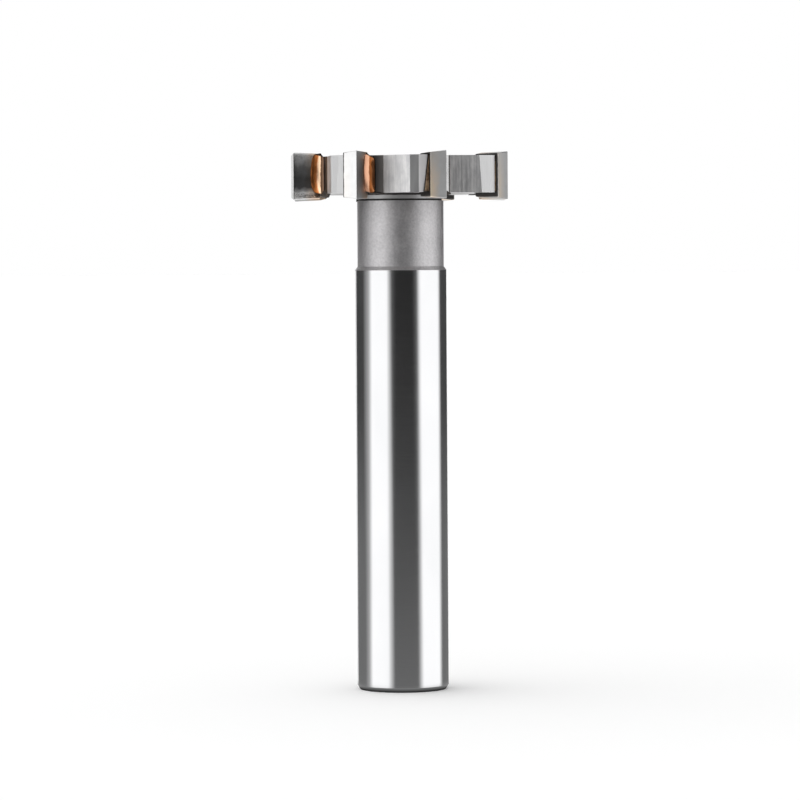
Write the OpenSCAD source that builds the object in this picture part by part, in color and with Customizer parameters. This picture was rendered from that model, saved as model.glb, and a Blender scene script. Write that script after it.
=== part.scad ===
// Carbide-tipped T-slot milling cutter, standing on the end of its shank.
// Origin: centre of the shank's end face. +Z runs along the axis, up to the head.
// The cutter turns counter-clockwise seen from above the head (right-hand cutting).

/* [Shank] */
// Diameter of the ground shank
shank_d = 20; // [16:0.5:25]
// Length of the shank, from its end face to the shoulder
shank_len = 91.4; // [60:0.2:120]
// Height of the chamfer on the shank's end
end_chamfer_h = 1; // [0.4:0.1:2]
// Depth of the chamfer on the shank's end, on the radius
end_chamfer_depth = 0.6; // [0.3:0.1:1.5]

/* [Neck] */
// Diameter of the blasted neck
neck_d = 18.8; // [14:0.1:19.4]
// Length of the neck, from the shoulder to the collar
neck_len = 15.5; // [8:0.1:30]
// Height of the sloped shoulder between shank and neck
shoulder_h = 0.85; // [0.3:0.05:2]

/* [Collar] */
// Diameter of the collar under the head
collar_d = 19.2; // [16:0.1:24]
// Height of the collar
collar_h = 1.1; // [0.6:0.1:4]
// Height of the groove under the collar
groove_h = 0.4; // [0.2:0.05:1]
// Depth of the groove, on the neck's radius
groove_depth = 0.35; // [0.1:0.05:1]

/* [Head] */
// Number of teeth
teeth = 8; // [6:1:10]
// Diameter over the cutting edges
cut_d = 50; // [44:0.5:60]
// Angle of the first tooth's cutting edge from +X
first_tooth_angle = 23.3; // [0:0.1:45]
// How far the tooth's steel stands inside the cutting circle, at the seat wall
land_step = 1.7; // [0.8:0.1:2.5]
// Length of the land behind the seat wall
land_len = 2; // [1.5:0.1:2.5]
// Slope of the land from the tangent at the cutting edge
land_slope = 10; // [6:1:16]
// Length of the steeper heel behind the land
heel_len = 1.9; // [1.8:0.1:2.2]
// Slope of the heel from the tangent at the cutting edge
heel_slope = 35; // [28:1:38]
// How far the gullet floor runs ahead of the rake face
floor_run = 3.6; // [2:0.1:4]

/* [Tips] */
// Thickness of a carbide tip, from rake face to back
tip_thick = 3.4; // [2:0.1:4]
// Length of a tip along the radius
tip_len = 6.2; // [4:0.1:7]
// Height of a tip along the axis, which is the width of slot that it cuts
tip_h = 10.3; // [9:0.1:14]
// How far the tips stand above the disc
tip_rise = 0.9; // [0.7:0.1:1.5]
// How far the tips hang below the disc
tip_drop = 1.4; // [1:0.1:2]
// Relief of the outer flank from the tangent at the cutting edge
flank_relief = 13; // [6:1:16]
// Relief of the upper and lower faces, towards the tip's back
side_relief = 6; // [3:0.5:8]
// Relief of the upper and lower faces, towards the axis
dish_relief = 2; // [0:0.5:3]

/* [Braze] */
// Thickness of the braze film behind and under a tip
film = 0.2; // [0.1:0.05:0.4]
// How far the film stands out of its joint
film_proud = 0.15; // [0.05:0.05:0.3]
// Reach of the bead up the rake face, at the disc's mid-height
bead_rise = 2.4; // [2:0.1:2.8]
// Reach of the bead along the gullet floor, at the disc's mid-height
bead_run = 1.8; // [1.6:0.1:2]
// How much thinner the bead is at its ends
bead_taper = 0.35; // [0.2:0.05:0.45]
// Gap behind the foot of every other tip, whose seat wall leans back
seat_lean = 1; // [0.2:0.1:1.5]
// Extra depth at the top of the heel of the other teeth, which leans too
heel_lean = 0.3; // [0.2:0.05:0.5]
// Depth of the leaning milling pass where it is shallowest
pass_depth = 0.05; // [0.02:0.01:0.1]

/* [Centre holes] */
// Diameter of the pilot hole in each end
centre_pilot_d = 2.5; // [1.6:0.1:4]
// Mouth diameter of the 60 degree cone in each end
centre_cone_d = 5.3; // [4.2:0.1:8]
// Depth of each centre hole
centre_depth = 5.5; // [4.5:0.5:7]

/* [Hidden] */

$fn = 96;
fine_fn = 720;
over = 1;
pitch = 360 / teeth;
cut_r = cut_d / 2;

// Heights
disc_h = tip_h - tip_rise - tip_drop;
neck_top = shank_len + neck_len;
disc_z = neck_top + collar_h;
disc_top = disc_z + disc_h;
tip_z = disc_z - tip_drop;
tip_top = tip_z + tip_h;

// One tooth seen from above, with its cutting edge on +X and the cut towards +Y
tip_foot = cut_r - tip_len;
floor_x = tip_foot - film;
wall_y = -tip_thick - film;
tip_back_x = cut_r - tip_thick * tan(flank_relief);
land_front = [cut_r - land_step, wall_y];
land_rear = land_front - land_len * [sin(land_slope), cos(land_slope)];
heel_rear = land_rear - heel_len * [sin(heel_slope), cos(heel_slope)];
floor_end = [floor_x, floor_run];

// Bead: a fillet hollowed by a spool, whose waist passes through the two reaches
hollow = 0.9;
spool_x = floor_x + bead_rise / 2 + hollow * bead_run;
spool_y = bead_run / 2 + hollow * bead_rise;
spool_r = norm([spool_x - floor_x - bead_rise, spool_y]);
spool_arc_r = ((disc_h / 2) ^ 2 + bead_taper ^ 2) / (2 * bead_taper);

steel_colour = [0.66, 0.66, 0.68];
carbide_colour = [0.36, 0.37, 0.37];
braze_colour = [0.72, 0.42, 0.25];

function turned(p, angle) = [
    p.x * cos(angle) - p.y * sin(angle),
    p.x * sin(angle) + p.y * cos(angle)
];

function leans(i) = i % 2 == 1;

// Puts its children on tooth i
module at_tooth(i) {
    rotate([0, 0, first_tooth_angle + (i - 1) * pitch]) children();
}

// Prism along +X with its outline given in Y and Z
module along_x(from, to) {
    translate([from, 0, 0]) rotate([90, 0, 90]) linear_extrude(to - from) children();
}

// Shank, neck, groove and collar as one turned profile, which runs on into the disc
module turned_stem() {
    shank_r = shank_d / 2;
    neck_r = neck_d / 2;
    groove_r = neck_r - groove_depth;
    rotate_extrude() polygon([
        [0, 0],
        [shank_r - end_chamfer_depth, 0],
        [shank_r, end_chamfer_h],
        [shank_r, shank_len],
        [neck_r, shank_len + shoulder_h],
        [neck_r, neck_top - groove_h],
        [groove_r, neck_top - groove_h],
        [groove_r, neck_top],
        [collar_d / 2, neck_top],
        [collar_d / 2, disc_z + over],
        [0, disc_z + over]
    ]);
}

// Outline of the toothed disc: heel, land, seat wall and gullet floor on every tooth
module disc_outline() {
    tooth = [heel_rear, land_rear, land_front, [floor_x, wall_y], floor_end];
    polygon([
        for (i = [1 : teeth])
            for (p = tooth)
                turned(p, first_tooth_angle + (i - 1) * pitch)
    ]);
}

// Section of a leaning milling pass, from its depths at the disc's top and at its foot
module leaning_section(top_depth, foot_depth) {
    slope = (foot_depth - top_depth) / disc_h;
    polygon([
        [top_depth - over * slope, disc_top + over],
        [foot_depth + over * slope, disc_z - over],
        [-tip_thick, disc_z - over],
        [-tip_thick, disc_top + over]
    ]);
}

// What the leaning pass takes out of a seat wall, down to just above the gullet floor
module seat_wedge() {
    along_x(floor_x + pass_depth, cut_r)
        translate([wall_y, 0]) mirror([1, 0]) leaning_section(pass_depth, seat_lean);
}

// What the leaning pass takes off a heel
module heel_wedge() {
    translate([heel_rear.x, heel_rear.y, 0]) rotate([0, 0, 90 - heel_slope])
        along_x(-heel_len, heel_len + land_len) leaning_section(heel_lean, pass_depth);
}

// Centre hole that opens downwards at the origin
module centre_hole() {
    cone_h = (centre_cone_d - centre_pilot_d) / 2 / tan(30);
    cylinder(d = centre_pilot_d, h = centre_depth);
    cylinder(d1 = centre_cone_d, d2 = centre_pilot_d, h = cone_h);
}

module body() {
    color(steel_colour) difference() {
        union() {
            turned_stem();
            translate([0, 0, disc_z]) linear_extrude(disc_h) disc_outline();
        }
        for (i = [1 : teeth])
            at_tooth(i) {
                if (leans(i)) seat_wedge();
                if (!leans(i)) heel_wedge();
            }
        centre_hole();
        translate([0, 0, disc_top]) mirror([0, 0, 1]) centre_hole();
    }
}

// Carbide tip i, with its outer, upper and lower faces ground away behind the cutting edge
module tip(i) {
    color(carbide_colour) at_tooth(i) difference() {
        translate([0, 0, tip_z]) linear_extrude(tip_h) polygon([
            [tip_foot, 0],
            [tip_foot, -tip_thick],
            [tip_back_x, -tip_thick],
            [cut_r, 0]
        ]);
        translate([cut_r, 0, tip_top]) rotate([side_relief, -dish_relief, 0])
            translate([-cut_r, -cut_r, 0]) cube([2 * cut_r, 2 * cut_r, tip_h]);
        translate([cut_r, 0, tip_z]) rotate([-side_relief, dish_relief, 0])
            translate([-cut_r, -cut_r, -tip_h]) cube([2 * cut_r, 2 * cut_r, tip_h]);
    }
}

// Film of braze behind and under the tip
module braze_film() {
    film_z = disc_z - film_proud;
    film_h = disc_h + 2 * film_proud;
    translate([floor_x, wall_y, film_z])
        cube([land_front.x + film_proud - floor_x, film, film_h]);
    translate([floor_x, wall_y, film_z]) cube([film, tip_thick + film, film_h]);
}

// Bead of braze in the corner between the rake face and the gullet floor
module braze_bead() {
    difference() {
        translate([floor_x, 0, disc_z]) cube([spool_x - floor_x, spool_y, disc_h]);
        translate([spool_x, spool_y, disc_z + disc_h / 2]) rotate_extrude() difference() {
            translate([0, -disc_h]) square([spool_r + disc_h, 2 * disc_h]);
            translate([spool_r + spool_arc_r, 0]) circle(spool_arc_r, $fn = fine_fn);
        }
    }
}

module braze(i) {
    color(braze_colour) at_tooth(i) union() {
        braze_film();
        braze_bead();
        if (leans(i)) intersection() {
            seat_wedge();
            translate([floor_x, wall_y - 2 * seat_lean, disc_z])
                cube([land_front.x - floor_x, 2 * seat_lean, disc_h]);
        }
    }
}

body();
for (i = [1 : teeth]) {
    tip(i);
    braze(i);
}
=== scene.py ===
# Looks of a carbide-tipped T-slot cutter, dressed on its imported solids.
import math

import bpy
import mathutils
from mathutils import Matrix


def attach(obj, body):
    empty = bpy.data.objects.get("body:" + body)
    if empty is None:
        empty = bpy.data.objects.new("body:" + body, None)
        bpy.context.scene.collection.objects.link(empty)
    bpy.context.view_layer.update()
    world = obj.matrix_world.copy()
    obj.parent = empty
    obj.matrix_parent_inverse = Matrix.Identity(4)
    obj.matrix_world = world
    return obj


MM = 0.001

# Sizes repeated from the part's source, in millimetres and degrees
TEETH = 8
PITCH = 360 / TEETH
FIRST_TOOTH = 23.3
SHANK_LEN = 91.4
NECK_LEN = 15.5
GROOVE_H = 0.4
COLLAR_H = 1.1
DISC_H = 8.0
TIP_H = 10.3
TIP_DROP = 1.4
FLOOR_X = 18.6
FLOOR_RUN = 3.6
SEAT_R = 23.3
SEAT_Y = -3.6
SEAT_LEAN = 1.0

# Heights that follow from them
NECK_TOP = SHANK_LEN + NECK_LEN
DISC_Z = NECK_TOP + COLLAR_H
DISC_TOP = DISC_Z + DISC_H
TIP_Z = DISC_Z - TIP_DROP
TIP_TOP = TIP_Z + TIP_H

# Faces of the head: lands and heels lie outside a radius in mm, and gullet floors inside one
LANDS_FROM = 22
FLOORS_TO = 20
# Most that a land, a heel and a gullet floor look away from their tooth's radius, in degrees
LAND_LOOK = 22
HEEL_LOOK = 45
FLOOR_LOOK = 15
# Middle of a tooth's steel, in degrees behind its cutting edge
TOOTH_MIDDLE = 13
# Slack in comparing heights, in mm
SLACK = 0.01

# Width of the body's and the tips' rounded edges in mm, and of the tip whose corners are worn
BODY_EDGE = 0.1
TIP_EDGE = 0.15
WORN_EDGES = {5: 0.28}
# Least angle of an edge that is rounded, in degrees: less than that between a gullet floor and a back
EDGE_ANGLE = 12
# Vertices of the solids this close are one, in mm
WELD_GAP = 0.001

# Flowed beads, in mm: reach up the tip at mid-height and at the ends, reach along the gullet floor,
# and how much of that the ends lose
BEAD_RISE = 2.45
BEAD_END = 1.0
BEAD_RUN = 1.85
BEAD_RUN_LOSS = 0.3
# How far the two reaches wander, in mm, and how much the face swells, as a share
RISE_WANDER = 0.10
RUN_WANDER = 0.06
BEAD_SWELL = 0.06
# Share of each half of a bead that is rounded off at its end, and share of its section that is left there
BEAD_ROUND = 0.08
BEAD_LEAST = 0.05
# Share of a bead's length that is burnt at each end
BEAD_BURNT = 0.09
# Depth of a bead's two flat sides inside the tip and the gullet floor, in mm
BEAD_SUNK = 0.08
# Middle point of a bead's section, as shares of its two reaches: hollow on odd teeth, full on even ones
ODD_MIDDLE = (0.20, 0.66)
EVEN_MIDDLE = (0.52, 0.63)
# Where a bead ends, in mm from the disc's lower and upper face, at the tip and at the gullet floor
ODD_ENDS = ((-0.05, -0.35), (0.75, 0.10))
EVEN_ENDS = ((0.05, -0.30), (0.55, -0.50))
# Colour of a bead across its face, from the tip to the gullet floor, with a painted highlight and painted
# shade
ODD_BEAD_PAINTED_LIGHT = [
    (0.00, (0.03, 0.012, 0.005)),
    (0.07, (0.25, 0.085, 0.025)),
    (0.30, (0.50, 0.17, 0.048)),
    (0.44, (0.90, 0.62, 0.42)),
    (0.56, (0.90, 0.62, 0.42)),
    (0.62, (0.05, 0.018, 0.007)),
    (0.74, (0.14, 0.08, 0.05)),
    (0.90, (0.14, 0.09, 0.065)),
    (0.97, (0.02, 0.009, 0.004)),
]
EVEN_BEAD_PAINTED_LIGHT = [
    (0.00, (0.20, 0.08, 0.04)),
    (0.12, (0.55, 0.29, 0.185)),
    (0.36, (0.66, 0.37, 0.24)),
    (0.45, (0.25, 0.075, 0.017)),
    (0.85, (0.32, 0.135, 0.06)),
    (0.95, (0.02, 0.009, 0.004)),
]

# Lumps of flux under the gullets, in mm in a tooth's frame: middle, reach along the radius and ahead
FLUX_MIDDLE = (FLOOR_X - 0.35, 1.7, DISC_Z - 0.1)
FLUX_REACH = (0.75, 2.1)
# How far the flux hangs: a film, and more on some teeth
FLUX_FILM = 0.15
FLUX_DEPTHS = {5: 0.85, 6: 0.3, 7: 0.65}
# How uneven a lump is, as a share, and how fine its unevenness
FLUX_SWELL = 0.28
FLUX_GRAIN = 1.6
# Tooth whose gullet the flux left clean
CLEAN_GULLET = 7
# How far outside the land the burnt flux on the tips' backs ends, in mm, and on the tips that differ
BACK_RIM = 0.6
BURNT_RIMS = {7: 1.0}

# Grey, roughness, warm tint and burnt edge of the ground sides; other tips' greys are painted light and
# shade
SIDES = (0.70, 0.42, 0.8, 0)
OTHER_SIDES = {
    5: (0.58, 0.14, 0, 0),
    6: (0.78, 0.42, 0.1, 1),
    8: (0.37, 0.36, 0.5, 0),
}
# Painted reflection on tip 5's rake face: greys up it, from its bright lower edge to its upper one
RAKE_PAINTED_REFLECTION = [
    (0.00, 0.82),
    (0.12, 0.88),
    (0.20, 0.28),
    (0.27, 0.065),
    (0.45, 0.053),
    (0.70, 0.11),
    (0.87, 0.30),
    (1.00, 0.50),
]
# Grey, roughness, warm tint and burnt edge of the rake faces; other tips' greys are painted light and
# shade
RAKE = (0.28, 0.08, 0.8, 0)
OTHER_RAKES = {5: (RAKE_PAINTED_REFLECTION, 0.08, 0.8, 0), 6: (0.50, 0.35, 0.8, 0)}
# Tints on the tips: brazing heat, and painted reflection of the copper beads
BROWN_TINT = (0.95, 0.74, 0.58)
STRAW_TINT = (1.60, 1.30, 0.98)

BURNT_BLACK = (0.008, 0.006, 0.005)
# Range that most values of a noise lie in
NOISE_SPAN = (0.3, 0.7)

# Camera: lens and sensor in mm, place in metres, and its pan, dip and roll in degrees
CAMERA_LENS = 180
CAMERA_SENSOR = 36
CAMERA_PLACE = (0, -0.8724, 0.09327)
CAMERA_PAN = 0.0211
CAMERA_DIP = 1.981
CAMERA_ROLL = -0.357

# Light of the surroundings at the horizon and overhead, and its shares from the four sides
HORIZON_LIGHT = 2.4
ZENITH_LIGHT = 0.3
LEFT_SHARE = 1.4
RIGHT_SHARE = 0.6
FRONT_SHARE = 0.8
BACK_SHARE = 1.2
# Light that comes from below the horizon, where the floor would be, as a share of that just above it
FLOOR_SHARE = 0.38

# Floor: half its width in metres, its grey, and a glow that only the camera sees
FLOOR_HALF = 30.0
FLOOR_GREY = 0.95
FLOOR_GLOW = 0.08

# Studio brightness by azimuth, seen from the cutter: 0 is towards the camera, + to its right
STUDIO = [
    (-180, 1.0),
    (-153, 1.0),
    (-152, 0.06),
    (-112, 0.06),
    (-91, 0.55),
    (-80, 1.52),
    (-36, 1.52),
    (-32, 1.0),
    (-22, 0.14),
    (-12, 0.02),
    (28, 0.02),
    (39, 0.14),
    (50, 1.35),
    (54, 1.52),
    (105, 1.52),
    (118, 0.08),
    (165, 0.06),
    (166, 1.0),
    (180, 1.0),
]
# Studio wall in metres: its radius, and its heights with the floor's light on its front and rear half
STUDIO_R = 1.0
STUDIO_HEIGHTS = [
    (-0.7, 0.9, 0.9),
    (-0.3, 0.45, 0.45),
    (-0.097, 0.18, 0.21),
    (-0.042, 0.107, 0.20),
    (0.029, 0.04, 0.06),
    (0.085, 0.02, 0.02),
    (1.5, 0.02, 0.02),
]
# Shade round the foot of the cutter: radius in metres, brightness, and how much it covers
FOOT_SHADE = [(0.0, 0.02, 1), (0.0096, 0.025, 1), (0.0107, 0.36, 1), (0.024, 0.40, 0)]
FOOT_SHADE_Z = -0.0001
FOOT_SHADE_STEP = 5


def link(obj):
    bpy.context.scene.collection.objects.link(obj)
    return obj


# Shader helpers


def new_material(name):
    """A material with a fresh tree: (material, tree, its Principled node)."""
    material = bpy.data.materials.new(name)
    material.use_nodes = True
    tree = material.node_tree
    return material, tree, tree.nodes["Principled BSDF"]


def add(tree, kind, inputs=None, **settings):
    """A new node. An input is a value, or an output socket to link."""
    node = tree.nodes.new("ShaderNode" + kind)
    for name, value in settings.items():
        setattr(node, name, value)
    put(tree, node, inputs or {})
    return node


def put(tree, node, inputs):
    """Sets or links inputs of a node."""
    for name, value in inputs.items():
        if isinstance(value, bpy.types.NodeSocket):
            tree.links.new(value, node.inputs[name])
        else:
            node.inputs[name].default_value = value


def math_node(tree, operation, *values):
    return add(tree, "Math", dict(enumerate(values)), operation=operation).outputs[0]


def attribute(tree, name):
    """A value that the mesh carries at its vertices."""
    return add(tree, "Attribute", attribute_name=name).outputs["Fac"]


def coords(tree, scale=(1, 1, 1), turn=0.0):
    """Place on the cutter in millimetres, turned back by an angle about the axis, then scaled."""
    place = add(tree, "TexCoord").outputs["Object"]
    turned = add(
        tree,
        "Mapping",
        {"Vector": place, "Rotation": (0, 0, -math.radians(turn)), "Scale": (1 / MM,) * 3},
    )
    return add(tree, "Mapping", {"Vector": turned.outputs[0], "Scale": scale}).outputs[0]


def axis_distance(tree):
    """Distance from the cutter's axis, in millimetres."""
    flat = tinted(tree, coords(tree), (1, 1, 0))
    return add(tree, "VectorMath", {0: flat}, operation="LENGTH").outputs["Value"]


def tooth_place(tree):
    """Place in the frame of the nearest tooth, in millimetres: sockets for radial, ahead and height."""
    place = add(tree, "SeparateXYZ", {0: coords(tree, turn=FIRST_TOOTH)}).outputs
    radius = axis_distance(tree)
    angle = math_node(tree, "ARCTAN2", place[1], place[0])
    half = math.radians(PITCH / 2)
    ahead = math_node(tree, "WRAP", angle, half, -half)
    return (
        math_node(tree, "MULTIPLY", radius, math_node(tree, "COSINE", ahead)),
        math_node(tree, "MULTIPLY", radius, math_node(tree, "SINE", ahead)),
        place[2],
    )


def noise(tree, vector, scale=1.0, detail=3.0, roughness=0.5):
    inputs = {"Vector": vector, "Scale": scale, "Detail": detail, "Roughness": roughness}
    return add(tree, "TexNoise", inputs).outputs["Fac"]


def remap(tree, value, low, high, to_low, to_high):
    """value mapped from low..high to to_low..to_high, and clamped."""
    inputs = {"Value": value, "From Min": low, "From Max": high, "To Min": to_low, "To Max": to_high}
    return add(tree, "MapRange", inputs).outputs[0]


def spread(tree, grain, to_low, to_high):
    """A noise mapped to to_low..to_high over the range that most of its values lie in."""
    return remap(tree, grain, *NOISE_SPAN, to_low, to_high)


def blend(tree, factor, first, second):
    """Two colours mixed by a factor."""
    node = add(tree, "Mix", {"Factor": factor}, data_type="RGBA")
    for socket, value in ((node.inputs[6], first), (node.inputs[7], second)):
        if isinstance(value, bpy.types.NodeSocket):
            tree.links.new(value, socket)
        else:
            socket.default_value = (*value, 1)
    return node.outputs[2]


def ramp(tree, factor, stops):
    """Colour by a factor, between stops of (factor, colour)."""
    node = add(tree, "ValToRGB", {"Fac": factor})
    elements = node.color_ramp.elements
    elements.remove(elements[0])
    for place, colour in stops[:-1]:
        elements.new(place).color = (*colour, 1)
    elements[-1].position = stops[-1][0]
    elements[-1].color = (*stops[-1][1], 1)
    return node.outputs["Color"]


def tinted(tree, colour, tint):
    """A colour or a place multiplied by another, or by a number."""
    return add(tree, "VectorMath", {0: colour, 1: tint}, operation="MULTIPLY").outputs[0]


def bump(tree, height, distance_mm):
    return add(tree, "Bump", {"Height": height, "Distance": distance_mm * MM, "Strength": 1.0}).outputs[0]


# Materials


def ground_steel():
    """Polished shank with fine marks round it."""
    material, tree, shader = new_material("ground_steel")
    lines = noise(tree, coords(tree, (0.15, 0.15, 9)), 1.0, 4.0, 0.6)
    clouds = noise(tree, coords(tree, (0.12, 0.12, 0.05)), 1.0, 2.0)
    put(tree, shader, {
        "Base Color": blend(tree, clouds, (0.60, 0.605, 0.615), (0.68, 0.68, 0.685)),
        "Metallic": 1.0,
        "Roughness": spread(tree, lines, 0.09, 0.15),
        "Normal": bump(tree, lines, 0.0025),
    })
    return material


def blasted_steel():
    """Matte neck, pitted by the blasting grit."""
    material, tree, shader = new_material("blasted_steel")
    grit = noise(tree, coords(tree), 2.0, 4.0, 0.65)
    patches = noise(tree, coords(tree), 0.25, 3.0)
    pits = remap(tree, grit, 0.35, 0.65, 0, 1)
    clean = blend(tree, patches, (0.50, 0.49, 0.50), (0.57, 0.56, 0.565))
    put(tree, shader, {
        "Base Color": blend(tree, pits, (0.43, 0.42, 0.43), clean),
        "Metallic": 1.0,
        "Roughness": spread(tree, patches, 0.42, 0.52),
        "Normal": bump(tree, grit, 0.06),
    })
    return material


def turned_steel():
    """Collar with the ridges of a turning tool, and a black line of painted shade and flux under the
    head.
    """
    material, tree, shader = new_material("turned_steel")
    lines = noise(tree, coords(tree, (0.1, 0.1, 6)), 1.0, 3.0)
    patches = noise(tree, coords(tree), 0.4, 3.0)
    height = add(tree, "SeparateXYZ", {0: coords(tree)}).outputs[2]
    ragged = math_node(tree, "ADD", height, math_node(tree, "MULTIPLY", patches, 0.3))
    # Painted shade under the head's edge, with some flux: the collar's top turns black
    stain_and_shade = remap(tree, ragged, DISC_Z - 0.22, DISC_Z - 0.08, 0, 1)
    clean = blend(tree, lines, (0.44, 0.44, 0.445), (0.56, 0.56, 0.56))
    put(tree, shader, {
        "Base Color": blend(tree, stain_and_shade, clean, (0.02, 0.016, 0.014)),
        "Metallic": 1.0,
        "Roughness": spread(tree, lines, 0.46, 0.58),
        "Normal": bump(tree, lines, 0.01),
    })
    return material


def groove_steel():
    """Groove under the collar, painted black as the shade inside it."""
    material, tree, shader = new_material("groove_steel")
    patches = noise(tree, coords(tree), 0.8, 3.0)
    put(tree, shader, {
        "Base Color": blend(tree, patches, (0.008, 0.008, 0.008), (0.035, 0.033, 0.032)),
        "Metallic": 0.4,
        "Roughness": spread(tree, patches, 0.5, 0.7),
    })
    return material


def milled_steel():
    """Backs of the teeth, with patches and the streaks that the milling cutter left along the axis."""
    material, tree, shader = new_material("milled_steel")
    streaks = noise(tree, coords(tree, (3.5, 3.5, 0.12)), 1.0, 4.0, 0.6)
    patches = noise(tree, coords(tree, (1, 1, 0.5)), 0.6, 4.0, 0.6)
    marks = math_node(tree, "MULTIPLY", spread(tree, streaks, 0.5, 1), patches)
    bright = remap(tree, marks, 0.2, 0.55, 0, 1)
    put(tree, shader, {
        "Base Color": blend(tree, bright, (0.51, 0.51, 0.52), (0.75, 0.745, 0.74)),
        "Metallic": 1.0,
        "Roughness": spread(tree, streaks, 0.45, 0.60),
        "Normal": bump(tree, streaks, 0.02),
    })
    return material


def streaked_steel(name, scale, colours, roughness, depth_mm):
    """Steel with fine streaks along the axis, between two colours and two roughnesses."""
    material, tree, shader = new_material(name)
    streaks = noise(tree, coords(tree, scale), 1.0, 4.0, 0.6)
    put(tree, shader, {
        "Base Color": blend(tree, streaks, *colours),
        "Metallic": 1.0,
        "Roughness": spread(tree, streaks, *roughness),
        "Normal": bump(tree, streaks, depth_mm),
    })
    return material


def heel_steel():
    """Heels of the odd teeth, in a darker grey than the backs."""
    return streaked_steel(
        "heel_steel",
        scale=(3.0, 3.0, 0.15),
        colours=((0.29, 0.29, 0.295), (0.38, 0.38, 0.38)),
        roughness=(0.30, 0.40),
        depth_mm=0.012,
    )


def land_steel():
    """Lands of the odd teeth, ground bright together with the tips."""
    return streaked_steel(
        "land_steel",
        scale=(2.5, 2.5, 0.2),
        colours=((0.78, 0.76, 0.77), (0.92, 0.92, 0.92)),
        roughness=(0.50, 0.62),
        depth_mm=0.015,
    )


def panel_steel():
    """Heels and lands of the even teeth, ground in one matte panel."""
    return streaked_steel(
        "panel_steel",
        scale=(2.5, 2.5, 0.2),
        colours=((0.70, 0.70, 0.705), (0.83, 0.83, 0.83)),
        roughness=(0.70, 0.85),
        depth_mm=0.015,
    )


def gullet_steel(name, shade, smooth, darken_to):
    """Gullet floors of a given grey and smoothness, stained by flux to a distance ahead of the tip, with
    painted shade at the far end.
    """
    material, tree, shader = new_material(name)
    patches = noise(tree, coords(tree, (1, 1, 0.4)), 0.9, 3.0)
    _, ahead, _ = tooth_place(tree)
    near_bead = remap(tree, math_node(tree, "ADD", ahead, patches), darken_to - 0.5, darken_to, 1, 0)
    # Painted shade: a dark line where the floor meets the next tooth's back
    step_shade = remap(tree, ahead, FLOOR_RUN - 0.35, FLOOR_RUN - 0.25, 0, 1)
    stain_and_shade = math_node(tree, "MAXIMUM", near_bead, step_shade)
    put(tree, shader, {
        "Base Color": blend(tree, stain_and_shade, (shade,) * 3, (0.08, 0.075, 0.072)),
        "Metallic": 1.0,
        "Roughness": spread(tree, patches, smooth, smooth + 0.12),
        "Normal": bump(tree, patches, 0.02),
    })
    return material


def faced_steel(name, darken_from, darken_to):
    """Flat side of the head, turned in rings, darker between two radii: flux stains on top, painted shade
    underneath.
    """
    material, tree, shader = new_material(name)
    radius = axis_distance(tree)
    rings = noise(tree, add(tree, "CombineXYZ", {0: radius}).outputs[0], 5.0, 3.0, 0.6)
    patches = noise(tree, coords(tree), 0.35, 4.0, 0.6)
    wander = math_node(tree, "ADD", radius, math_node(tree, "MULTIPLY", patches, 3.0))
    stain_and_shade = remap(tree, wander, darken_from, darken_to, 0, 0.85)
    clean = blend(tree, spread(tree, rings, 0, 1), (0.44, 0.44, 0.445), (0.66, 0.66, 0.66))
    put(tree, shader, {
        "Base Color": blend(tree, stain_and_shade, clean, (0.06, 0.05, 0.045)),
        "Metallic": 1.0,
        "Roughness": spread(tree, rings, 0.26, 0.38),
        "Normal": bump(tree, rings, 0.02),
    })
    return material


def tip_tone(tree, shade, patches, height):
    """Grey of a tip's face: one value, or stops up its height with ragged borders."""
    stops = shade if isinstance(shade, list) else [(0, shade), (1, shade)]
    ragged = math_node(tree, "ADD", height, spread(tree, patches, -0.25, 0.25))
    share = remap(tree, ragged, TIP_Z, TIP_TOP, 0, 1)
    return ramp(tree, share, [(place, (grey,) * 3) for place, grey in stops])


def heat_and_reflection_tint(tree, tone, heat, patches, place):
    """A tip's grey tinted by heat and painted copper reflection: brown near the foot, straw low down near
    the back.
    """
    radial, ahead, height = place
    wander = math_node(tree, "MULTIPLY", patches, 1.6)
    near_foot = remap(tree, math_node(tree, "ADD", radial, wander), 20.8, 23.4, 1, 0)
    near_back = remap(tree, math_node(tree, "ADD", ahead, wander), -2.4, -0.4, heat, 0)
    low = remap(tree, height, DISC_Z + 2, DISC_Z + 8, 1, 0.25)
    grey = tinted(tree, tone, remap(tree, patches, 0, 1, 0.9, 1.1))
    # Brown and straw: heat tint and painted reflection of the copper bead
    browned = blend(tree, near_foot, grey, tinted(tree, tone, BROWN_TINT))
    straw = tinted(tree, tone, STRAW_TINT)
    return blend(tree, math_node(tree, "MULTIPLY", near_back, low), browned, straw)


def burnt_seat(tree, burn, patches, place):
    """How burnt a tip is beside its seat: inside the land's radius, and all along it if burn is 1."""
    radial, ahead, _ = place
    near_seat = math_node(tree, "ADD", ahead, math_node(tree, "MULTIPLY", patches, 0.3))
    inside = remap(tree, radial, SEAT_R + 0.2, SEAT_R + 0.5, 1, 0)
    crown = math_node(tree, "MULTIPLY", inside, remap(tree, near_seat, -2.9, -2.6, 1, 0))
    return math_node(tree, "MAXIMUM", crown, remap(tree, near_seat, -3.1, -2.95, burn, 0))


def carbide(name, shade, smooth, heat, burn):
    """Tip faces of a given grey and smoothness, tinted warm and burnt along the seat; some tips' greys
    are painted light and shade.
    """
    material, tree, shader = new_material(name)
    scratches = noise(tree, coords(tree, (1.2, 1.2, 7)), 1.0, 4.0, 0.6)
    patches = noise(tree, coords(tree), 0.7, 3.0)
    place = tooth_place(tree)
    tone = tip_tone(tree, shade, patches, place[2])
    colour = heat_and_reflection_tint(tree, tone, heat, patches, place)
    burnt = burnt_seat(tree, burn, patches, place)
    put(tree, shader, {
        "Base Color": blend(tree, burnt, colour, (0.012, 0.009, 0.008)),
        "Metallic": 1.0,
        "Roughness": spread(tree, scratches, smooth, smooth + 0.1),
        "Normal": bump(tree, scratches, 0.006),
    })
    return material


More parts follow.
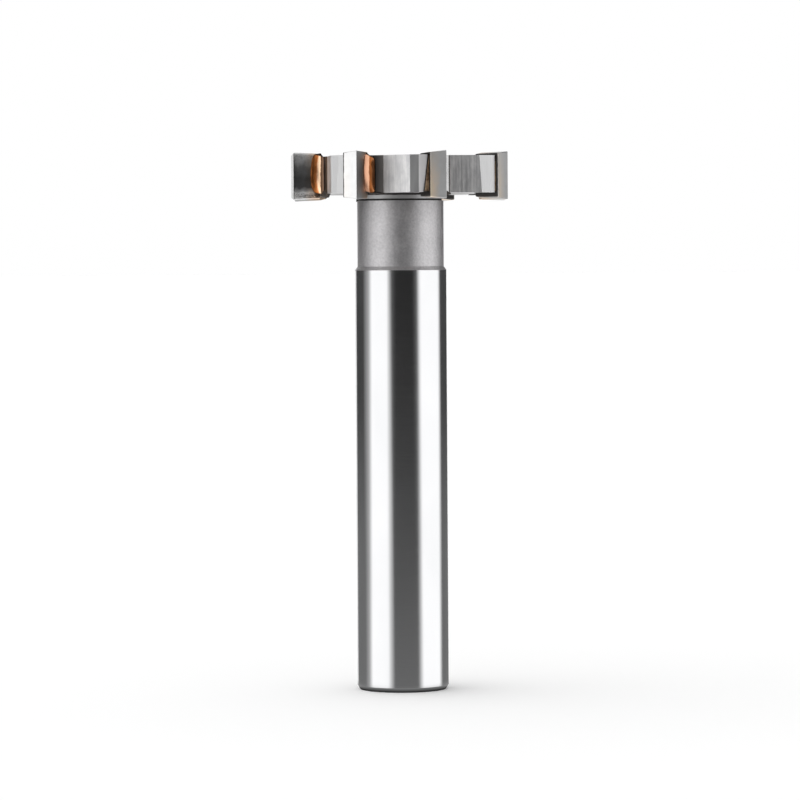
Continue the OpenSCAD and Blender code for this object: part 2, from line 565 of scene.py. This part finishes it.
def tip_back(name, rim):
    """Backs of the tips, black with burnt flux up to a rim outside the land, and clean beyond it."""
    material, tree, shader = new_material(name)
    crust = noise(tree, coords(tree), 1.6, 4.0, 0.6)
    radial, _, height = tooth_place(tree)
    wander = spread(tree, crust, -0.04, 0.04)
    rim_r = SEAT_R + rim
    inside = remap(tree, math_node(tree, "ADD", radial, wander), rim_r, rim_r + 0.15, 1, 0)
    above = remap(tree, math_node(tree, "ADD", height, wander), DISC_Z - 0.95, DISC_Z - 0.80, 0, 1)
    burnt = math_node(tree, "MULTIPLY", inside, above)
    put(tree, shader, {
        "Base Color": blend(tree, burnt, (0.74, 0.71, 0.68), (0.012, 0.009, 0.007)),
        "Metallic": remap(tree, burnt, 0, 1, 1, 0),
        "Roughness": spread(tree, crust, 0.40, 0.60),
        "Normal": bump(tree, crust, 0.02),
    })
    return material


def burnt_flux():
    """Lumps of flux left by the brazing, burnt black."""
    material, tree, shader = new_material("burnt_flux")
    crust = noise(tree, coords(tree), 1.6, 4.0, 0.6)
    pale = remap(tree, crust, 0.35, 0.7, 0, 1)
    put(tree, shader, {
        "Base Color": blend(tree, pale, BURNT_BLACK, (0.06, 0.04, 0.028)),
        "Metallic": 0.0,
        "Roughness": spread(tree, crust, 0.45, 0.75),
        "Normal": bump(tree, crust, 0.06),
    })
    return material


def burnt_braze():
    """Braze round the tips, oxidised brown, and black with flux along the seat and the head's sides."""
    material, tree, shader = new_material("burnt_braze")
    crust = noise(tree, coords(tree), 1.2, 4.0, 0.6)
    _, ahead, height = tooth_place(tree)
    above_middle = math_node(tree, "SUBTRACT", height, (DISC_Z + DISC_TOP) / 2)
    at_sides = remap(tree, math_node(tree, "ABSOLUTE", above_middle), 3.4, 3.9, 0, 1)
    seat = remap(tree, height, DISC_Z, DISC_TOP, SEAT_Y - SEAT_LEAN, SEAT_Y)
    at_seat = remap(tree, math_node(tree, "SUBTRACT", ahead, seat), 0.15, 0.3, 1, 0)
    flux = math_node(tree, "MAXIMUM", at_sides, at_seat)
    pale = remap(tree, crust, 0.35, 0.7, 0, 1)
    brown = blend(tree, pale, (0.16, 0.10, 0.055), (0.46, 0.33, 0.21))
    put(tree, shader, {
        "Base Color": blend(tree, flux, brown, BURNT_BLACK),
        "Metallic": remap(tree, flux, 0, 1, 0.7, 0),
        "Roughness": spread(tree, crust, 0.35, 0.6),
        "Normal": bump(tree, crust, 0.04),
    })
    return material


def copper_braze(name, colours):
    """Flowed copper beads with painted highlight and shade bands across them, and black with flux at the
    ends.
    """
    material, tree, shader = new_material(name)
    flow = noise(tree, coords(tree, (1, 1, 0.3)), 0.8, 2.0)
    oxide = noise(tree, coords(tree, (1, 1, 0.4)), 1.6, 4.0, 0.6)
    wander = spread(tree, oxide, -0.04, 0.04)
    # Copper across the bead, with its painted highlight and shade bands
    copper = ramp(tree, math_node(tree, "ADD", attribute(tree, "across"), wander), colours)
    burnt = remap(tree, math_node(tree, "ADD", attribute(tree, "end"), wander), 0.6, 0.8, 0, 1)
    put(tree, shader, {
        "Base Color": blend(tree, burnt, copper, (0.02, 0.009, 0.004)),
        "Metallic": 1.0,
        "Roughness": spread(tree, oxide, 0.14, 0.26),
        "Normal": bump(tree, flow, 0.04),
    })
    return material


# The cutter


def is_odd(number):
    return number % 2 == 1


def tooth_angle(number):
    return FIRST_TOOTH + (number - 1) * PITCH


def facing(face, number):
    """Direction that a face looks in, in degrees from its tooth's radius, with + ahead."""
    angle = math.degrees(math.atan2(face.normal.y, face.normal.x)) - tooth_angle(number)
    return (angle + 180) % 360 - 180


def nearest_tooth(face):
    """Number of the tooth whose steel a face of the head belongs to."""
    angle = math.degrees(math.atan2(face.center.y, face.center.x)) - FIRST_TOOTH + TOOTH_MIDDLE
    return round(angle / PITCH) % TEETH + 1


def head_zone(face):
    """Name of the zone of the head that a face belongs to."""
    if face.normal.z > 0.7:
        return "top"
    if face.normal.z < -0.7:
        return "underside"
    number = nearest_tooth(face)
    look = facing(face, number)
    radius = math.hypot(face.center.x, face.center.y) / MM
    if radius > LANDS_FROM and -HEEL_LOOK < look < -LAND_LOOK:
        return "heel" if is_odd(number) else "panel"
    if radius > LANDS_FROM and -LAND_LOOK <= look < 0:
        return "land" if is_odd(number) else "panel"
    if radius < FLOORS_TO and abs(look) < FLOOR_LOOK:
        return "clean_gullet" if number == CLEAN_GULLET else "gullet"
    return "back"


def stem_zone(height):
    """Name of the zone of the turned stem at a height in mm."""
    if height < SHANK_LEN:
        return "shank"
    if height < NECK_TOP - GROOVE_H - SLACK:
        return "neck"
    return "groove" if height < NECK_TOP - SLACK else "collar"


def dress_body(body):
    """One material for each zone of the turned and milled body."""
    zones = {
        "shank": ground_steel(),
        "neck": blasted_steel(),
        "groove": groove_steel(),
        "collar": turned_steel(),
        "back": milled_steel(),
        "heel": heel_steel(),
        "land": land_steel(),
        "panel": panel_steel(),
        "gullet": gullet_steel("stained_gullet", shade=0.56, smooth=0.28, darken_to=4.6),
        "clean_gullet": gullet_steel("clean_gullet", shade=0.62, smooth=0.12, darken_to=2.9),
        "top": faced_steel("faced_top", darken_from=19.5, darken_to=22.5),
        # Painted shade: the underside darkens towards the collar, where the head overhangs it
        "underside": faced_steel("faced_underside", darken_from=20.5, darken_to=15.0),
    }
    mesh = body.data
    mesh.materials.clear()
    for material in zones.values():
        mesh.materials.append(material)
    names = list(zones)
    for face in mesh.polygons:
        height = face.center.z / MM
        zone = head_zone(face) if height > DISC_Z - SLACK else stem_zone(height)
        face.material_index = names.index(zone)


def dress_tip(tip, number, sides, rake, back):
    """Ground sides, polished rake face and burnt back."""
    mesh = tip.data
    mesh.materials.clear()
    for material in (sides, rake, back):
        mesh.materials.append(material)
    for face in mesh.polygons:
        look = facing(face, number)
        upright = abs(face.normal.z) < 0.5
        if upright and abs(look - 90) < 10:
            face.material_index = 1
        if upright and abs(look + 90) < 10:
            face.material_index = 2


def dress(obj, material):
    obj.data.materials.clear()
    obj.data.materials.append(material)


def noise_at(*place):
    return mathutils.noise.noise(mathutils.Vector(place))


def bead_section(up, seed):
    """Reaches of a bead up the tip and along the floor, in mm, where up runs 0..1 along the axis."""
    from_middle = abs(2 * up - 1)
    fullness = math.sqrt(1 - from_middle**2)
    rise = BEAD_END + (BEAD_RISE - BEAD_END) * fullness + RISE_WANDER * noise_at(3 * up, seed, 0.5)
    run = BEAD_RUN - BEAD_RUN_LOSS * (1 - fullness) + RUN_WANDER * noise_at(4 * up, seed, 8.5)
    into_end = max(0.0, from_middle - 1 + BEAD_ROUND) / BEAD_ROUND
    shrink = math.sqrt(max(BEAD_LEAST, 1 - into_end**2))
    return rise * shrink, run * shrink


def bead_point(up, across, number):
    """Point on a bead's face in its tooth's frame, in mm, where across runs 0..1 from tip to floor."""
    seed = 7.0 * number
    rise, run = bead_section(up, seed)
    middle_rise, middle_run = ODD_MIDDLE if is_odd(number) else EVEN_MIDDLE
    swell = 1 + BEAD_SWELL * noise_at(2.5 * up, 2 * across, seed + 3)
    near_tip = (1 - across) ** 2
    near_middle = 2 * across * (1 - across)
    near_floor = across**2
    radial = near_tip * rise + near_middle * middle_rise * rise * swell
    ahead = near_middle * middle_run * run * swell + near_floor * run
    (low_tip, low_floor), (high_tip, high_floor) = ODD_ENDS if is_odd(number) else EVEN_ENDS
    low = DISC_Z + low_tip + (low_floor - low_tip) * across
    high = DISC_TOP + high_tip + (high_floor - high_tip) * across
    return FLOOR_X + radial, ahead, low + (high - low) * up


def skin_loops(name, loops, smooth_columns):
    """A closed mesh over loops of points in mm, smooth over the first columns of each loop."""
    width = len(loops[0])
    points = [[size * MM for size in point] for loop in loops for point in loop]
    faces = []
    smooth = []
    for row in range(len(loops) - 1):
        for column in range(width):
            corner = row * width + column
            after = row * width + (column + 1) % width
            faces.append((corner, after, after + width, corner + width))
            smooth.append(column < smooth_columns)
    faces.append(tuple(reversed(range(width))))
    faces.append(tuple(range(len(points) - width, len(points))))
    mesh = bpy.data.meshes.new(name)
    mesh.from_pydata(points, [], faces)
    mesh.polygons.foreach_set("use_smooth", smooth + [False, False])
    return mesh


def give_values(mesh, name, values):
    """One value at each vertex of a mesh, for its material to read."""
    mesh.attributes.new(name, "FLOAT", "POINT").data.foreach_set("value", values)


def place_at_tooth(mesh, number, material):
    """Puts a mesh made in a tooth's frame on that tooth, as a piece of the root body."""
    mesh.transform(Matrix.Rotation(math.radians(tooth_angle(number)), 4, "Z"))
    mesh.materials.append(material)
    piece = link(bpy.data.objects.new(mesh.name, mesh))
    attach(piece, "root")


def make_bead(number, material):
    """Fillet of flowed braze in the corner before a tip."""
    rows = 64
    columns = 20
    shares = [column / columns for column in range(columns + 1)]
    loops = []
    across = []
    ends = []
    for row in range(rows + 1):
        up = row / rows
        loop = [bead_point(up, share, number) for share in shares]
        (tip_x, _, tip_z), (_, floor_y, floor_z) = loop[0], loop[-1]
        loop.append((FLOOR_X - BEAD_SUNK, floor_y, floor_z))
        loop.append((FLOOR_X - BEAD_SUNK, -BEAD_SUNK, tip_z))
        loop.append((tip_x, -BEAD_SUNK, tip_z))
        loops.append(loop)
        across += shares + [1.0] * 3
        ends += [max(0.0, 1 - min(up, 1 - up) / BEAD_BURNT)] * len(loop)
    mesh = skin_loops(f"bead_{number}", loops, columns)
    give_values(mesh, "across", across)
    give_values(mesh, "end", ends)
    place_at_tooth(mesh, number, material)


def make_flux(number, material):
    """Lump of burnt flux under the gullet's lower edge."""
    rows = 24
    columns = 20
    reach = (*FLUX_REACH, FLUX_DEPTHS.get(number, FLUX_FILM))
    seed = 11.0 * number
    loops = []
    for row in range(1, rows):
        lean = math.pi * row / rows
        loop = []
        for column in range(columns):
            turn = 2 * math.pi * column / columns
            way = (math.sin(lean) * math.cos(turn), -math.cos(lean), math.sin(lean) * math.sin(turn))
            x, y, z = (FLUX_GRAIN * part for part in way)
            swell = 1 + FLUX_SWELL * noise_at(x + seed, y, z)
            loop.append(tuple(m + r * w * swell for m, r, w in zip(FLUX_MIDDLE, reach, way)))
        loops.append(loop)
    place_at_tooth(skin_loops(f"flux_{number}", loops, columns), number, material)


def soften_edges(obj, width_mm):
    """Rounds the edges of a solid and keeps its faces flat."""
    weld = obj.modifiers.new("weld", "WELD")
    weld.merge_threshold = WELD_GAP * MM
    bevel = obj.modifiers.new("edges", "BEVEL")
    bevel.width = width_mm * MM
    bevel.segments = 2
    bevel.limit_method = "ANGLE"
    bevel.angle_limit = math.radians(EDGE_ANGLE)
    obj.modifiers.new("flat_faces", "WEIGHTED_NORMAL")


# The studio


def place_camera():
    data = bpy.data.cameras.new("camera")
    data.lens = CAMERA_LENS
    data.sensor_width = CAMERA_SENSOR
    camera = link(bpy.data.objects.new("camera", data))
    turn = (
        Matrix.Rotation(math.radians(CAMERA_PAN), 4, "Z")
        @ Matrix.Rotation(math.radians(90 - CAMERA_DIP), 4, "X")
        @ Matrix.Rotation(math.radians(CAMERA_ROLL), 4, "Z")
    )
    camera.matrix_world = Matrix.Translation(CAMERA_PLACE) @ turn
    bpy.context.scene.camera = camera


def white_world():
    """Surroundings that the camera sees plain white.

    They give more light low down, from the left and from behind, and less from below the horizon.
    """
    world = bpy.data.worlds.new("white_world")
    world.use_nodes = True
    tree = world.node_tree
    way = add(tree, "SeparateXYZ", {0: add(tree, "TexCoord").outputs["Generated"]}).outputs
    above = remap(tree, way[2], 0, 1, HORIZON_LIGHT, ZENITH_LIGHT)
    low = math_node(tree, "MULTIPLY", above, remap(tree, way[2], -0.05, 0, FLOOR_SHARE, 1))
    side = remap(tree, way[0], -1, 1, LEFT_SHARE, RIGHT_SHARE)
    behind = remap(tree, way[1], -1, 1, FRONT_SHARE, BACK_SHARE)
    light = math_node(tree, "MULTIPLY", math_node(tree, "MULTIPLY", low, side), behind)
    seen = add(tree, "LightPath").outputs["Is Camera Ray"]
    strength = remap(tree, seen, 0, 1, light, 1.0)
    put(tree, tree.nodes["Background"], {"Color": (1, 1, 1, 1), "Strength": strength})
    bpy.context.scene.world = world


def white_floor():
    """Plain white paper that takes the cutter's shadow and that metal doesn't show."""
    mesh = bpy.data.meshes.new("floor")
    corners = [(-1, -1), (1, -1), (1, 1), (-1, 1)]
    mesh.from_pydata([(FLOOR_HALF * x, FLOOR_HALF * y, 0) for x, y in corners], [], [(0, 1, 2, 3)])
    floor = link(bpy.data.objects.new("floor", mesh))
    material, tree, shader = new_material("white_paper")
    seen = add(tree, "LightPath").outputs["Is Camera Ray"]
    put(tree, shader, {
        "Base Color": (FLOOR_GREY, FLOOR_GREY, FLOOR_GREY, 1),
        "Roughness": 0.9,
        "Specular IOR Level": 0.0,
        "Emission Color": (1, 1, 1, 1),
        "Emission Strength": math_node(tree, "MULTIPLY", seen, FLOOR_GLOW),
    })
    mesh.materials.append(material)
    floor.visible_glossy = False


def studio_level(azimuth):
    """Brightness of the studio wall at an azimuth in degrees."""
    for (a, low), (b, high) in zip(STUDIO, STUDIO[1:]):
        if a <= azimuth <= b:
            return low + (high - low) * (azimuth - a) / (b - a)
    return 0.0


def studio_sheet(name, columns):
    """A sheet from columns of (point, brightness, cover), which metal shows but which lights no floor."""
    rows = len(columns[0])
    points, levels, covers = zip(*[corner for column in columns for corner in column])
    faces = []
    for column in range(len(columns) - 1):
        for row in range(rows - 1):
            corner = column * rows + row
            faces.append((corner, corner + 1, corner + rows + 1, corner + rows))
    mesh = bpy.data.meshes.new(name)
    mesh.from_pydata(points, [], faces)
    give_values(mesh, "level", levels)
    give_values(mesh, "cover", covers)
    mesh.materials.append(sheet_light(name))
    sheet = link(bpy.data.objects.new(name, mesh))
    sheet.visible_camera = False
    sheet.visible_diffuse = False
    sheet.visible_shadow = False


def sheet_light(name):
    """Light of the sheet's level, clear where it doesn't cover, and dark after a diffuse bounce."""
    material, tree, _ = new_material(name)
    bounces = add(tree, "LightPath").outputs["Diffuse Depth"]
    strength = math_node(tree, "MULTIPLY", attribute(tree, "level"), remap(tree, bounces, 0, 1, 1, 0))
    light = add(tree, "Emission", {"Color": (1, 1, 1, 1), "Strength": strength}).outputs[0]
    clear = add(tree, "BsdfTransparent").outputs[0]
    mixed = add(tree, "MixShader", {0: attribute(tree, "cover"), 1: clear, 2: light})
    tree.links.new(mixed.outputs[0], tree.nodes["Material Output"].inputs["Surface"])
    return material


def round_axis(azimuth, radius, height):
    """Point at an azimuth in degrees, counted as in STUDIO."""
    angle = math.radians(azimuth)
    return (radius * math.sin(angle), -radius * math.cos(angle), height)


def studio_wall():
    """Softboxes and dark cards round the cutter, and the white backdrop behind it."""
    columns = []
    for azimuth in range(STUDIO[0][0], STUDIO[-1][0] + 1):
        level = studio_level(azimuth)
        column = []
        for height, front, rear in STUDIO_HEIGHTS:
            floor_light = rear if abs(azimuth) > 90 else front
            column.append((round_axis(azimuth, STUDIO_R, height), max(level, floor_light), 1))
        columns.append(column)
    studio_sheet("studio_wall", columns)


def foot_shade():
    """Dark of the floor round the foot, just below it so that the shank's lowest edge shows it too."""
    columns = []
    for azimuth in range(0, 361, FOOT_SHADE_STEP):
        column = []
        for radius, level, cover in FOOT_SHADE:
            column.append((round_axis(azimuth, radius, FOOT_SHADE_Z), level, cover))
        columns.append(column)
    studio_sheet("foot_shade", columns)


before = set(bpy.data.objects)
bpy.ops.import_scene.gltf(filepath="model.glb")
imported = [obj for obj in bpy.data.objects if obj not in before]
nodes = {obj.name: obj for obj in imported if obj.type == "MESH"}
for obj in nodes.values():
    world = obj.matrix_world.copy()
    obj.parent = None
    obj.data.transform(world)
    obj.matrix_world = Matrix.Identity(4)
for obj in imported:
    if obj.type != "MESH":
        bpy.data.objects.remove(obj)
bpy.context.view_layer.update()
bpy.context.scene.view_settings.view_transform = "Standard"

place_camera()
white_world()
white_floor()
studio_wall()
foot_shade()

dress_body(nodes["body"])
flux = burnt_flux()
film = burnt_braze()
odd_copper = copper_braze("odd_copper", ODD_BEAD_PAINTED_LIGHT)
even_copper = copper_braze("even_copper", EVEN_BEAD_PAINTED_LIGHT)
for number in range(1, TEETH + 1):
    sides = carbide(f"carbide_sides_{number}", *OTHER_SIDES.get(number, SIDES))
    rake = carbide(f"carbide_rake_{number}", *OTHER_RAKES.get(number, RAKE))
    back = tip_back(f"tip_back_{number}", BURNT_RIMS.get(number, BACK_RIM))
    dress_tip(nodes[f"tip_{number}"], number, sides, rake, back)
    dress(nodes[f"braze_{number}"], film)
    make_bead(number, odd_copper if is_odd(number) else even_copper)
    make_flux(number, flux)
    soften_edges(nodes[f"tip_{number}"], WORN_EDGES.get(number, TIP_EDGE))
soften_edges(nodes["body"], BODY_EDGE)
